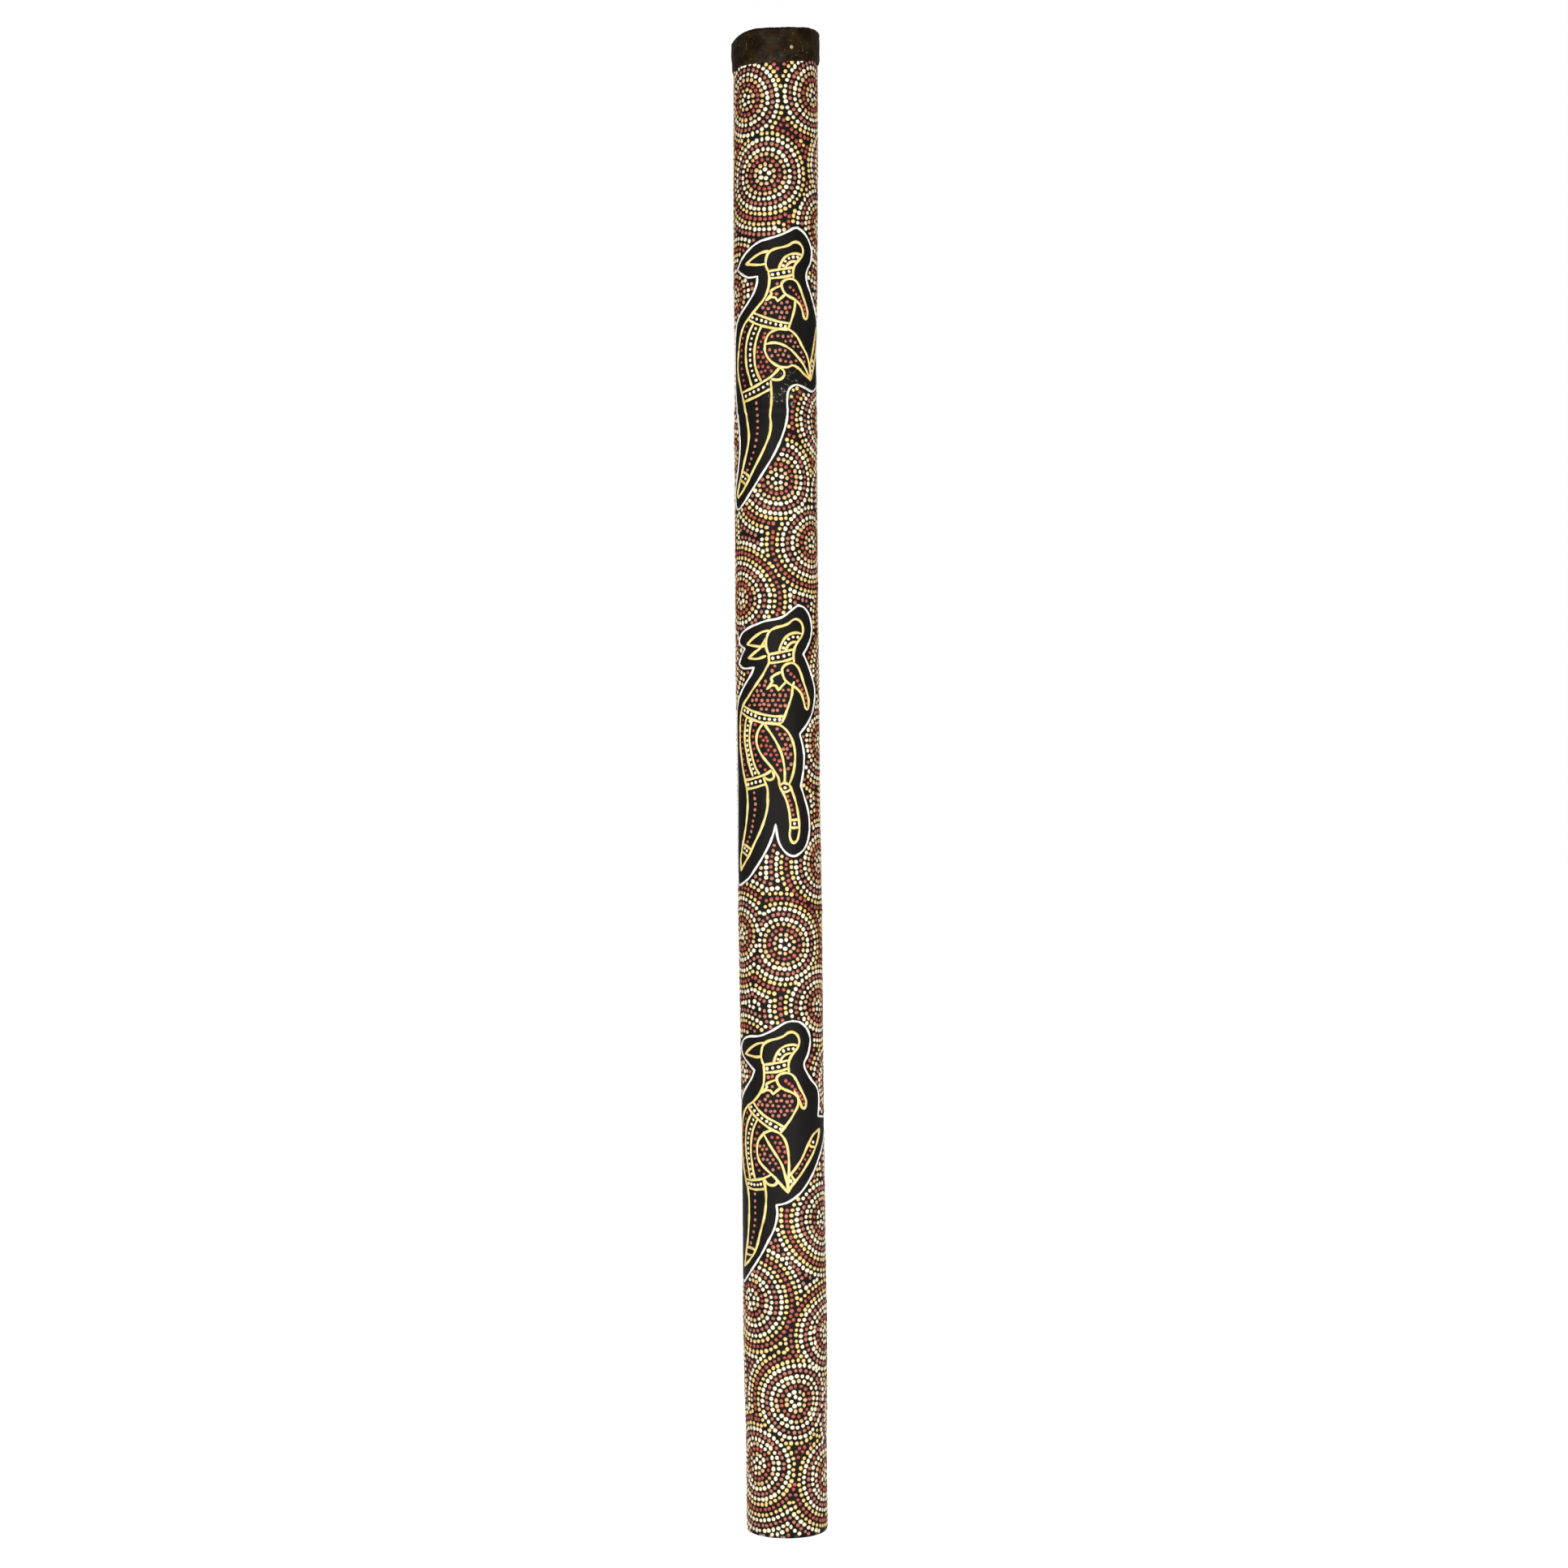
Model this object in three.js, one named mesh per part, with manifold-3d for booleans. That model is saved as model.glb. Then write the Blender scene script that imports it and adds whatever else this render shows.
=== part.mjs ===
// Rainstick: a painted bamboo culm, closed at both ends, with a helix of thin pins across its bore
// and loose pebbles that fall from pin to pin. Millimetres, +Z up, standing on its lower end.
import * as THREE from 'three';
import { mergeVertices } from 'three/addons/utils/BufferGeometryUtils.js';
import Module from 'manifold-3d';

const wasm = await Module();
wasm.setup();

// Bamboo culm
const stickLength = 1001; // on its axis, over the seal
const culmSides = 36;
const culmProfile = [ // height and outer radius, swelling at each of the three nodes
  [0, 27.0], [60, 27.0], [79, 27.2], [86, 27.7], [138, 28.2], [200, 27.8], [300, 27.7], [398, 27.8],
  [412, 28.1], [426, 27.8], [500, 27.5], [575, 27.7], [640, 27.4], [715, 27.3], [740, 27.8],
  [747, 27.1], [800, 27.1], [835, 27.8], [900, 28.0], [960, 28.0],
];
const nodeHeights = [79, 412, 746];
const boreRadius = 22.5;
const ledgeRadius = 21.4; // what is left of each partition after it is knocked through
const ledgeThickness = 4;
const bowDepth = 2.3; // how far the culm bows to the side between its ends
const bowPower = 1.5; // above 1, the bow is deepest above the middle
const endOffset = 0.2; // sets the two ends across, so that the bowed culm is centred on Z
const rimSlant = THREE.MathUtils.degToRad(8.2); // the upper end is cut at this slant
const slantStart = 960; // from here to the rim, heights lean over to the slant

// Upper seal: hardened resin, dipped over the end
const sealThickness = 1.4;
const sealRadius = 29.6;
const sealSkirt = 22; // how far down the culm it runs
const sealEdge = 1.0; // bevel round the top and at the skirt's lower edge

// Plugs and the dowels that hold them
const plugThickness = 25;
const dowelRadius = 1.2;
const dowelBite = 9; // how deep a dowel goes into its plug
const dowelsPerPlug = 3;
const dowelTurn = THREE.MathUtils.degToRad(21); // first dowel, from the front towards +X
const upperDowelHeight = 988;
const lowerDowelHeight = 12;

// Pins across the bore
const pinCount = 32;
const pinRadius = 1.0;
const pinTurn = Math.PI / 8; // from one pin to the next
const firstPinHeight = 106; // set so that no pin meets a ledge
const pinSpacing = 26;
const pinInset = 0.3; // each pin's outer end lies just under the paint
const pinSides = 8;

// Pebbles, one in each straight way between the pins
const pebbleCount = 16;
const pebbleRadius = 2.0;
const pebbleRing = 17;

const gap = 0.3; // between pieces that touch
const overrun = 5; // how far a drill runs past the surface

const material = (color, roughness) => new THREE.MeshStandardMaterial({ color, roughness, metalness: 0 });
const blackPaint = material(0x232426, 0.45);
const brownResin = material(0x2a1b0e, 0.35);
const plugWood = material(0xb98f5c, 0.7);
const pinBamboo = material(0xd2b37c, 0.6);
const pebbleStone = material(0x8c857a, 0.8);

const rimHeight = stickLength - sealThickness; // of the culm, on its axis

// The centreline's X at one height.
function bowAt(z) {
  const share = THREE.MathUtils.clamp(z / stickLength, 0, 1);
  return endOffset - bowDepth * Math.sin(Math.PI * share ** bowPower);
}

function outerRadiusAt(z) {
  const above = culmProfile.findIndex(([height]) => height >= z);
  if (above <= 0) return culmProfile.at(above)[1];
  const [low, lowRadius] = culmProfile[above - 1];
  const [high, highRadius] = culmProfile[above];
  return THREE.MathUtils.mapLinear(z, low, high, lowRadius, highRadius);
}

// Distance from the Z axis to the bowed wall of a given radius, in one direction.
function wallDistance(radius, z, angle) {
  const across = bowAt(z) * Math.sin(angle);
  return bowAt(z) * Math.cos(angle) + Math.sqrt(radius ** 2 - across ** 2);
}

// Shared vertices merged and flat triangles dropped, which leaves a closed mesh.
function weld(geometry) {
  const bare = geometry.clone();
  bare.deleteAttribute('normal');
  bare.deleteAttribute('uv');
  const merged = mergeVertices(bare, 1e-4);
  const kept = [];
  for (let i = 0; i < merged.index.count; i += 3) {
    const corners = [0, 1, 2].map((k) => merged.index.getX(i + k));
    if (new Set(corners).size === 3) kept.push(...corners);
  }
  merged.setIndex(kept);
  return merged;
}

function toSolid(geometry) {
  const welded = weld(geometry);
  return new wasm.Manifold(new wasm.Mesh({
    numProp: 3,
    vertProperties: new Float32Array(welded.attributes.position.array),
    triVerts: new Uint32Array(welded.index.array),
  }));
}

function drilled(geometry, drills) {
  const solid = drills.reduce((left, drill) => left.subtract(toSolid(drill)), toSolid(geometry));
  const { vertProperties, triVerts } = solid.getMesh();
  const result = new THREE.BufferGeometry();
  result.setAttribute('position', new THREE.BufferAttribute(vertProperties, 3));
  result.setIndex(new THREE.BufferAttribute(triVerts, 1));
  result.computeVertexNormals();
  return result;
}

// A turned solid from [radius, height] points, run anticlockwise, then slanted at the top and bowed.
function turned(points) {
  const profile = points.map(([radius, height]) => new THREE.Vector2(radius, height));
  const geometry = new THREE.LatheGeometry(profile, culmSides).rotateX(Math.PI / 2);
  const place = geometry.attributes.position;
  for (let i = 0; i < place.count; i += 1) {
    const [x, z] = [place.getX(i), place.getZ(i)];
    const lean = THREE.MathUtils.clamp((z - slantStart) / (rimHeight - slantStart), 0, 1);
    place.setX(i, x + bowAt(z));
    place.setZ(i, z + lean * x * Math.tan(rimSlant));
  }
  geometry.computeVertexNormals();
  return geometry;
}

// A rod that crosses the Z axis level, between two distances from it.
function rod(radius, angle, from, to, height) {
  const geometry = new THREE.CylinderGeometry(radius, radius, to - from, pinSides);
  geometry.rotateZ(-Math.PI / 2);
  geometry.translate((from + to) / 2, 0, 0);
  geometry.rotateZ(angle);
  return geometry.translate(0, 0, height);
}

const pins = Array.from({ length: pinCount }, (_, i) => {
  const height = firstPinHeight + i * pinSpacing;
  const angle = i * pinTurn;
  const outer = wallDistance(outerRadiusAt(height), height, angle);
  const far = wallDistance(boreRadius, height, angle + Math.PI);
  return {
    shape: rod(pinRadius, angle, gap - far, outer - pinInset, height),
    drill: rod(pinRadius + gap, angle, boreRadius / 2, outer + overrun, height),
  };
});

function dowels(height, outerRadius) {
  return Array.from({ length: dowelsPerPlug }, (_, i) => {
    const angle = dowelTurn - Math.PI / 2 + (i * 2 * Math.PI) / dowelsPerPlug;
    const outer = wallDistance(outerRadius, height, angle);
    const inner = boreRadius - dowelBite;
    return {
      shape: rod(dowelRadius, angle, inner + gap, outer, height),
      drill: rod(dowelRadius + gap, angle, inner, outer + overrun, height),
    };
  });
}

const upperDowels = dowels(upperDowelHeight, sealRadius);
const lowerDowels = dowels(lowerDowelHeight, outerRadiusAt(lowerDowelHeight) - pinInset);
const drillsOf = (rods) => rods.map(({ drill }) => drill);

function culm() {
  const foot = [boreRadius, 0];
  const outside = culmProfile.map(([height, radius]) => [radius, height]);
  const ledges = nodeHeights.flatMap((height) => [
    [boreRadius, height - ledgeThickness],
    [ledgeRadius, height - ledgeThickness / 2],
    [ledgeRadius, height + ledgeThickness / 2],
    [boreRadius, height + ledgeThickness],
  ]);
  const clearOfLedges = (height) => nodeHeights.every((node) => Math.abs(height - node) > ledgeThickness);
  const betweenLedges = culmProfile
    .filter(([height]) => clearOfLedges(height))
    .map(([height]) => [boreRadius, height]);
  const bore = [...betweenLedges, ...ledges, [boreRadius, rimHeight]].sort((a, b) => b[1] - a[1]);
  const profile = [foot, ...outside, [outerRadiusAt(slantStart), rimHeight], ...bore];
  return drilled(turned(profile), drillsOf([...pins, ...upperDowels, ...lowerDowels]));
}

function plug(low, high) {
  return turned([[0, low], [boreRadius - gap, low], [boreRadius - gap, high], [0, high]]);
}

function upperSeal() {
  const top = rimHeight + sealThickness;
  const hem = rimHeight - sealSkirt;
  const inner = outerRadiusAt(slantStart) + gap;
  const profile = [
    [0, rimHeight + gap], [inner, rimHeight + gap], [inner, hem],
    [sealRadius - sealEdge, hem], [sealRadius, hem + sealEdge],
    [sealRadius, top - sealEdge], [sealRadius - sealEdge, top], [0, top],
  ];
  return drilled(turned(profile), drillsOf(upperDowels));
}

function pebble(index) {
  const angle = (index + 0.5) * pinTurn;
  const geometry = new THREE.IcosahedronGeometry(pebbleRadius, 1);
  geometry.scale(1 - 0.12 * (index % 3), 0.9, 1 - 0.15 * (index % 2)); // a few different stones
  geometry.rotateZ(angle);
  geometry.computeBoundingBox();
  const seat = plugThickness + gap - geometry.boundingBox.min.z;
  return geometry.translate(pebbleRing * Math.cos(angle), pebbleRing * Math.sin(angle), seat);
}

const rainstick = new THREE.Group();

function add(name, geometry, finish) {
  const mesh = new THREE.Mesh(geometry, finish);
  mesh.name = name;
  rainstick.add(mesh);
}

const numbered = (name, i) => `${name}_${String(i + 1).padStart(2, '0')}`;

add('bamboo_culm', culm(), blackPaint);
add('upper_seal', upperSeal(), brownResin);
add('upper_plug', drilled(plug(rimHeight - plugThickness, rimHeight), drillsOf(upperDowels)), plugWood);
add('lower_plug', drilled(plug(0, plugThickness), drillsOf(lowerDowels)), plugWood);
upperDowels.forEach(({ shape }, i) => add(numbered('upper_dowel', i), shape, pinBamboo));
lowerDowels.forEach(({ shape }, i) => add(numbered('lower_dowel', i), shape, pinBamboo));
pins.forEach(({ shape }, i) => add(numbered('rain_pin', i), shape, pinBamboo));
for (let i = 0; i < pebbleCount; i += 1) add(numbered('pebble', i), pebble(i), pebbleStone);

export default rainstick;
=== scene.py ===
import math

import bpy
import numpy as np
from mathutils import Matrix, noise


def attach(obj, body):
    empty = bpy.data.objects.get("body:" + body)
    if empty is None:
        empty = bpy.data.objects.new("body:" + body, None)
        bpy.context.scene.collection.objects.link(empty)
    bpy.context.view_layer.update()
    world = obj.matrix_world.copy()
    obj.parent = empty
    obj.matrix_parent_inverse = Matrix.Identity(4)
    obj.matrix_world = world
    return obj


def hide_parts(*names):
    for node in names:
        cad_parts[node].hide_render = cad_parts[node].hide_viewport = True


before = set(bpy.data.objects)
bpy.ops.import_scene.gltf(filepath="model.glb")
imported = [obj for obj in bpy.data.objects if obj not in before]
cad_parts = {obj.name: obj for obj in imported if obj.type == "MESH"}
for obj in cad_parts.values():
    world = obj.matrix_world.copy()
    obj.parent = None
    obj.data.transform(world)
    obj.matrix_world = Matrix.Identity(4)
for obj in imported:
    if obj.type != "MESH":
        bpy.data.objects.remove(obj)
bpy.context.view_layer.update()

# Everything painted is laid out flat in millimetres: across runs round the stick from the middle of
# its front, up is the height on the stick and lift stands off its surface. ontoStick wraps it round.
mm = 0.001
chance = np.random.default_rng(11)

stick = {
    "girth": 27.8,            # radius that the flat layout is wrapped on
    "nodes": (79, 412, 746),  # heights of the bamboo's nodes
    "ridge": 0.35,            # swelling just above each node
    "crease": 0.3,            # groove at each node
    "slantFrom": 960,         # the rim leans over from here up
    "slantTo": 999.6,
    "slant": math.radians(8.2),
    "outOfRound": 0.12,
}


# The stick's own shape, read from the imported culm.

def cadRings():
    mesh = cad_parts["bamboo_culm"].data
    points = np.empty(len(mesh.vertices) * 3)
    mesh.vertices.foreach_get("co", points)
    points = points.reshape(-1, 3) / mm
    outer = points[np.hypot(points[:, 0], points[:, 1]) > 0.9 * stick["girth"]]
    levels, counts = np.unique(np.round(outer[:, 2], 1), return_counts=True)
    rings = []
    for level in levels[(counts > 100) & (levels <= stick["slantFrom"])]:
        across = outer[np.abs(outer[:, 2] - level) < 0.06, 0]
        rings.append((level, (across.max() - across.min()) / 2, (across.max() + across.min()) / 2))
    return np.array(rings).T


def softened(values, spread):
    reach = int(3 * spread)
    weights = np.exp(-0.5 * (np.arange(-reach, reach + 1) / spread) ** 2)
    return np.convolve(np.pad(values, reach, mode="edge"), weights / weights.sum(), mode="valid")


tableStep = 0.25
tableHeights = np.arange(-5, 1005, tableStep)
ringHeights, ringRadii, ringMiddles = cadRings()
tableRadii = softened(np.interp(tableHeights, ringHeights, ringRadii), 6 / tableStep)
tableCentres = softened(np.interp(tableHeights, ringHeights, ringMiddles), 25 / tableStep)
for node in stick["nodes"]:
    tableRadii += stick["ridge"] * np.exp(-(((tableHeights - node - 2.4) / 2.2) ** 2))
    tableRadii -= stick["crease"] * np.exp(-(((tableHeights - node) / 0.8) ** 2))


def stickRadius(angle, up):
    wave = np.sin(2 * angle + up / 160) + 0.6 * np.sin(3 * angle - up / 90 + 1)
    return np.interp(up, tableHeights, tableRadii) + stick["outOfRound"] * wave


def ontoStick(across, up, lift):
    angle = across / stick["girth"]
    radius = stickRadius(angle, up) + lift
    x = radius * np.sin(angle)
    lean = np.clip((up - stick["slantFrom"]) / (stick["slantTo"] - stick["slantFrom"]), 0, 1)
    height = up + lean * x * math.tan(stick["slant"])
    bowed = x + np.interp(up, tableHeights, tableCentres)
    return np.stack([bowed, -radius * np.cos(angle), height], -1) * mm


# Small helpers for modelling by operators.

def deselectAll():
    if bpy.context.mode != "OBJECT":
        bpy.ops.object.mode_set(mode="OBJECT")
    bpy.ops.object.select_all(action="DESELECT")


def makeActive(piece):
    deselectAll()
    piece.select_set(True)
    bpy.context.view_layer.objects.active = piece


def justAdded(name):
    piece = bpy.context.object
    piece.name = name
    piece.data.name = name
    return piece


class Spots:  # many places at once, in millimetres
    def __init__(self, points):
        self.x, self.y, self.z = points.T
        self.out = np.hypot(self.x, self.y)


def readAll(group, key, width):
    values = np.empty(len(group) * width, int if key == "vertices" else float)
    group.foreach_get(key, values)
    return values.reshape(-1, width)


def pick(piece, kind, test):  # selects verts, edges or faces by where they are, and leaves edit mode on
    bpy.ops.object.mode_set(mode="OBJECT")
    mesh = piece.data
    for group in (mesh.vertices, mesh.edges, mesh.polygons):
        group.foreach_set("select", np.zeros(len(group), bool))
    where = readAll(mesh.vertices, "co", 3) / mm
    if kind == "VERT":
        mesh.vertices.foreach_set("select", test(Spots(where)))
    elif kind == "EDGE":
        ends = readAll(mesh.edges, "vertices", 2)
        mesh.edges.foreach_set("select", test(Spots(where[ends[:, 0]]), Spots(where[ends[:, 1]])))
    else:
        centres = readAll(mesh.polygons, "center", 3) / mm
        normals = readAll(mesh.polygons, "normal", 3)
        mesh.polygons.foreach_set("select", test(Spots(centres), Spots(normals)))
    bpy.context.tool_settings.mesh_select_mode = [kind == one for one in ("VERT", "EDGE", "FACE")]
    bpy.ops.object.mode_set(mode="EDIT")


def upright(a, b):
    return abs(a.z - b.z) > 0.01


def applyAll(piece):
    makeActive(piece)
    for modifier in list(piece.modifiers):
        bpy.ops.object.modifier_apply(modifier=modifier.name)


def pointsOf(piece):
    return readAll(piece.data.vertices, "co", 3) / mm


def wrapRound(piece):  # a piece modelled round an upright axis takes the stick's bow, girth and slant
    x, y, up = pointsOf(piece).T
    angle = np.arctan2(x, -y)
    placed = ontoStick(angle * stick["girth"], up, np.hypot(x, y) - stick["girth"])
    piece.data.vertices.foreach_set("co", placed.ravel())
    piece.data.update()


def wrapFlat(piece, flatten):  # a piece modelled flat, facing -Y, is laid on the stick
    x, y, up = pointsOf(piece).T
    piece.data.vertices.foreach_set("co", ontoStick(x, up, -y * flatten).ravel())
    piece.data.update()


def settle(piece, body, slot, material, *nodes):
    piece.data.materials.clear()
    piece.data.materials.append(material)
    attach(piece, body)
    if nodes:
        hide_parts(*nodes)


class Wire:  # a socket that takes part in sums
    def __init__(self, recipe, socket):
        self.recipe = recipe
        self.socket = socket

    def combine(self, operation, *others):
        values = {i: other for i, other in enumerate((self, *others))}
        return self.recipe.put("ShaderNodeMath", {"operation": operation}, values)

    def __add__(self, other):
        return self.combine("ADD", other)

    def __mul__(self, other):
        return self.combine("MULTIPLY", other)

    def __rsub__(self, other):
        return self.recipe.put("ShaderNodeMath", {"operation": "SUBTRACT"}, {0: other, 1: self})

    __radd__ = __add__
    __rmul__ = __mul__

    def between(self, low, high):  # 0 below low, 1 above high, smooth in between
        settings = {"interpolation_type": "SMOOTHSTEP"}
        values = {"Value": self, "From Min": low, "From Max": high}
        return self.recipe.put("ShaderNodeMapRange", settings, values)


class Recipe:  # one procedural material
    def __init__(self, name, **fixed):
        self.material = bpy.data.materials.new(name)
        self.material.use_nodes = True
        self.tree = self.material.node_tree
        self.shader = next(n for n in self.tree.nodes if n.type == "BSDF_PRINCIPLED")
        self.place = self.put("ShaderNodeTexCoord", out="Object")
        for socket, value in fixed.items():
            self.shader.inputs[socket.replace("_", " ")].default_value = value

    def put(self, kind, settings=None, values=None, out=0):
        made = self.tree.nodes.new(kind)
        for key, value in (settings or {}).items():
            setattr(made, key, value)
        for key, value in (values or {}).items():
            self.feed(made.inputs[key], value)
        return Wire(self, made.outputs[out])

    def feed(self, socket, value):
        if isinstance(value, Wire):
            self.tree.links.new(value.socket, socket)
        else:
            socket.default_value = value

    def grain(self, size, detail=3, stretch=(1, 1, 1), shift=0.0, rough=0.5):  # noise, sized in mm
        placed = {"Vector": self.place, "Scale": stretch, "Location": (shift, 0, 0)}
        moved = self.put("ShaderNodeMapping", {}, placed)
        values = {"Vector": moved, "Scale": 1 / (size * mm), "Detail": detail, "Roughness": rough}
        return self.put("ShaderNodeTexNoise", {}, values, "Fac")

    def mix(self, share, first, second):
        colours = {6: first, 7: second}
        for key, value in colours.items():
            if not isinstance(value, Wire):
                colours[key] = (*value, 1.0)
        return self.put("ShaderNodeMix", {"data_type": "RGBA"}, {0: share, **colours}, 2)

    def attribute(self, name):
        return self.put("ShaderNodeAttribute", {"attribute_name": name}, out="Fac")

    def finish(self, colour, roughness, height=None, depth=0.05):
        self.feed(self.shader.inputs["Base Color"], colour)
        self.feed(self.shader.inputs["Roughness"], roughness)
        if height is not None:
            bump = self.put("ShaderNodeBump", {}, {"Distance": depth * mm, "Height": height})
            self.feed(self.shader.inputs["Normal"], bump)
        return self.material


def blackPaint():
    paint = Recipe("satinBlackPaint", Specular_IOR_Level=0.05)
    fibres = paint.grain(0.7, 4, (1, 1, 0.04))
    brushed = paint.grain(5, 3, (1, 1, 0.15))
    peel = paint.grain(1.2, 2)
    rubbed = paint.grain(9, 5).between(0.63, 0.76) * paint.grain(0.5, 3, (1, 1, 0.3)).between(0.5, 0.7)
    colour = paint.mix(brushed, (0.0040, 0.0038, 0.0034), (0.0100, 0.0096, 0.0088))
    colour = paint.mix(rubbed * 0.35, colour, (0.09, 0.088, 0.082))
    # painted highlight: a pale, patchy band on the lowest 3 mm stands in for the light that the rounded
    # bottom edge catches
    foot = paint.put("ShaderNodeSeparateXYZ", {}, {"Vector": paint.place}, "Z")
    footHighlight = (1 - foot.between(0.0004, 0.0028)) * paint.grain(3.2, 4, (1, 1, 0.5)).between(0.52, 0.64)
    colour = paint.mix(footHighlight * 0.7, colour, (0.56, 0.52, 0.42))
    scuffSpot = (0.007, -0.027, 0.761)  # by the upper node, where the paint is scratched
    ends = {0: paint.place, 1: scuffSpot}
    away = paint.put("ShaderNodeVectorMath", {"operation": "DISTANCE"}, ends, "Value")
    curls = (paint.grain(6, 2) + -0.5).combine("ABSOLUTE")
    scuffed = (1 - away.between(0.009, 0.018)) * (1 - curls.between(0.005, 0.016))
    scuffed = scuffed * paint.grain(3, 2, shift=0.2).between(0.46, 0.58)
    colour = paint.mix(scuffed * 0.6, colour, (0.30, 0.29, 0.25))
    roughness = 0.42 + 0.16 * brushed + 0.1 * rubbed
    return paint.finish(colour, roughness, fibres * 0.5 + brushed * 0.3 + peel * 0.4, 0.07)


def dotPaint(name, plain, other, rimShade, heart):
    paint = Recipe(name)
    shade = paint.attribute("dotShade")
    outward = paint.attribute("dotOutward")
    mottle = paint.grain(0.8, 3)
    colour = paint.mix(shade * 0.7 + mottle * 0.3, plain, other)
    # painted shade: the colour darkens towards each dot's edge, so the flat dot reads as a lit dome
    colour = paint.mix(outward.between(0.7, 1.0) * 0.85, colour, rimShade)
    colour = paint.mix((1 - outward.between(0.06, 0.26)) * 0.4, colour, heart)
    return paint.finish(colour, 0.34 + 0.2 * mottle, paint.grain(0.35, 2), 0.03)


def linePaint(name, plain, other, thin):
    paint = Recipe(name)
    streak = paint.grain(3, 4)
    worn = paint.grain(11, 3).between(0.55, 0.7)
    colour = paint.mix(streak.between(0.35, 0.65), plain, other)
    colour = paint.mix(worn * 0.5, colour, thin)
    return paint.finish(colour, 0.36 + 0.18 * streak, paint.grain(0.8, 3), 0.08)


def brownSeal():
    seal = Recipe("brownSeal", Specular_IOR_Level=0.07)
    lumps = seal.grain(6, 4)
    flecks = seal.grain(1.4, 4).between(0.59, 0.7) * seal.grain(7, 3, shift=0.3).between(0.5, 0.64)
    scratches = seal.grain(0.6, 2, (1, 1, 0.05), rough=0.3).between(0.7, 0.76)
    scratches = scratches * seal.grain(13, 2).between(0.5, 0.62)
    colour = seal.mix(lumps.between(0.35, 0.68), (0.0070, 0.0038, 0.0012), (0.0210, 0.0118, 0.0038))
    colour = seal.mix(seal.grain(2.2, 5).between(0.58, 0.75) * 0.3, colour, (0.05, 0.035, 0.018))
    colour = seal.mix(flecks * 0.5, colour, (0.22, 0.19, 0.135))
    colour = seal.mix(scratches * 0.6, colour, (0.24, 0.2, 0.14))
    roughness = 0.3 + 0.25 * lumps + 0.2 * flecks
    return seal.finish(colour, roughness, lumps + seal.grain(1.5, 4) * 0.35 + scratches * -0.3, 0.35)


def bambooWood(name, pale, dark):
    wood = Recipe(name)
    fibre = wood.grain(0.4, 4, (1, 1, 0.2))
    colour = wood.mix(fibre, dark, pale)
    return wood.finish(colour, 0.55 + 0.25 * fibre, fibre, 0.06)


def pebbleStone():
    stone = Recipe("riverPebble")
    speck = stone.grain(0.6, 5)
    tone = stone.grain(5, 1)
    colour = stone.mix(speck.between(0.4, 0.65), (0.16, 0.145, 0.125), (0.42, 0.39, 0.34))
    colour = stone.mix(tone * 0.4, colour, (0.3, 0.19, 0.11))
    return stone.finish(colour, 0.6 + 0.25 * speck, speck, 0.05)


def towardsCamera(tree, plain, shown):  # a grey that lights the object, and another that is seen
    rays = tree.nodes.new("ShaderNodeLightPath")
    grey = tree.nodes.new("ShaderNodeMix")
    grey.data_type = "RGBA"
    grey.inputs[6].default_value = (plain, plain, plain, 1)
    grey.inputs[7].default_value = (shown, shown, shown, 1)
    tree.links.new(rays.outputs["Is Camera Ray"], grey.inputs[0])
    return grey.outputs[2]


def whiteFloor():
    board = Recipe("floorBoard", Roughness=0.9)
    board.shader.inputs["Base Color"].default_value = (0.8, 0.8, 0.8, 1)
    board.shader.inputs["Emission Strength"].default_value = 1
    glow = towardsCamera(board.tree, studio["floorBounce"], studio["floorGlow"])
    board.tree.links.new(glow, board.shader.inputs["Emission Color"])
    return board.material


# Each paint of the dots: its colour, another that some dots lean to, the darker colour of its edge (painted
# shade that makes each dot read as a rounded dome) and its heart.
paints = {
    "white": dotPaint(
        "whiteDots", (0.80, 0.73, 0.58), (0.71, 0.62, 0.45), (0.34, 0.25, 0.09), (0.64, 0.52, 0.27)),
    "cream": dotPaint(
        "creamDots", (0.64, 0.43, 0.22), (0.56, 0.34, 0.15), (0.28, 0.17, 0.04), (0.51, 0.32, 0.10)),
    "yellow": dotPaint(
        "yellowDots", (0.74, 0.52, 0.17), (0.68, 0.50, 0.21), (0.30, 0.19, 0.03), (0.50, 0.30, 0.07)),
    "salmon": dotPaint(
        "salmonDots", (0.39, 0.145, 0.09), (0.36, 0.10, 0.06), (0.20, 0.04, 0.02), (0.36, 0.09, 0.05)),
    "red": dotPaint(
        "redDots", (0.33, 0.042, 0.026), (0.38, 0.073, 0.042), (0.14, 0.012, 0.008), (0.26, 0.025, 0.015)),
}
linePaints = {
    "yellow": linePaint("yellowLines", (0.68, 0.51, 0.15), (0.72, 0.58, 0.26), (0.41, 0.34, 0.05)),
    "white": linePaint("whiteLines", (0.66, 0.63, 0.58), (0.78, 0.75, 0.70), (0.38, 0.35, 0.31)),
}
finishes = {
    "black": blackPaint(),
    "seal": brownSeal(),
    "plug": bambooWood("plugWood", (0.55, 0.38, 0.2), (0.36, 0.22, 0.1)),
    "pin": bambooWood("splitBamboo", (0.66, 0.52, 0.3), (0.5, 0.36, 0.17)),
    "dowel": bambooWood("varnishedDowel", (0.42, 0.35, 0.22), (0.22, 0.17, 0.09)),
    "pebble": pebbleStone(),
}
print("materials mixed")


# Camera, floor and light.

view = {
    "distance": 1.97,   # from the stick's axis
    "height": 0.5,
    "sidestep": 0.0018,
    "roll": math.radians(0.44),
    "lens": 67.36,
}


def setCamera():
    bpy.ops.object.camera_add(
        location=(view["sidestep"], -view["distance"], view["height"]),
        rotation=(math.radians(90), view["roll"], 0))
    camera = bpy.context.object
    camera.data.lens = view["lens"]
    camera.data.sensor_width = 36
    camera.data.clip_start = 0.01
    bpy.context.scene.camera = camera


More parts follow.
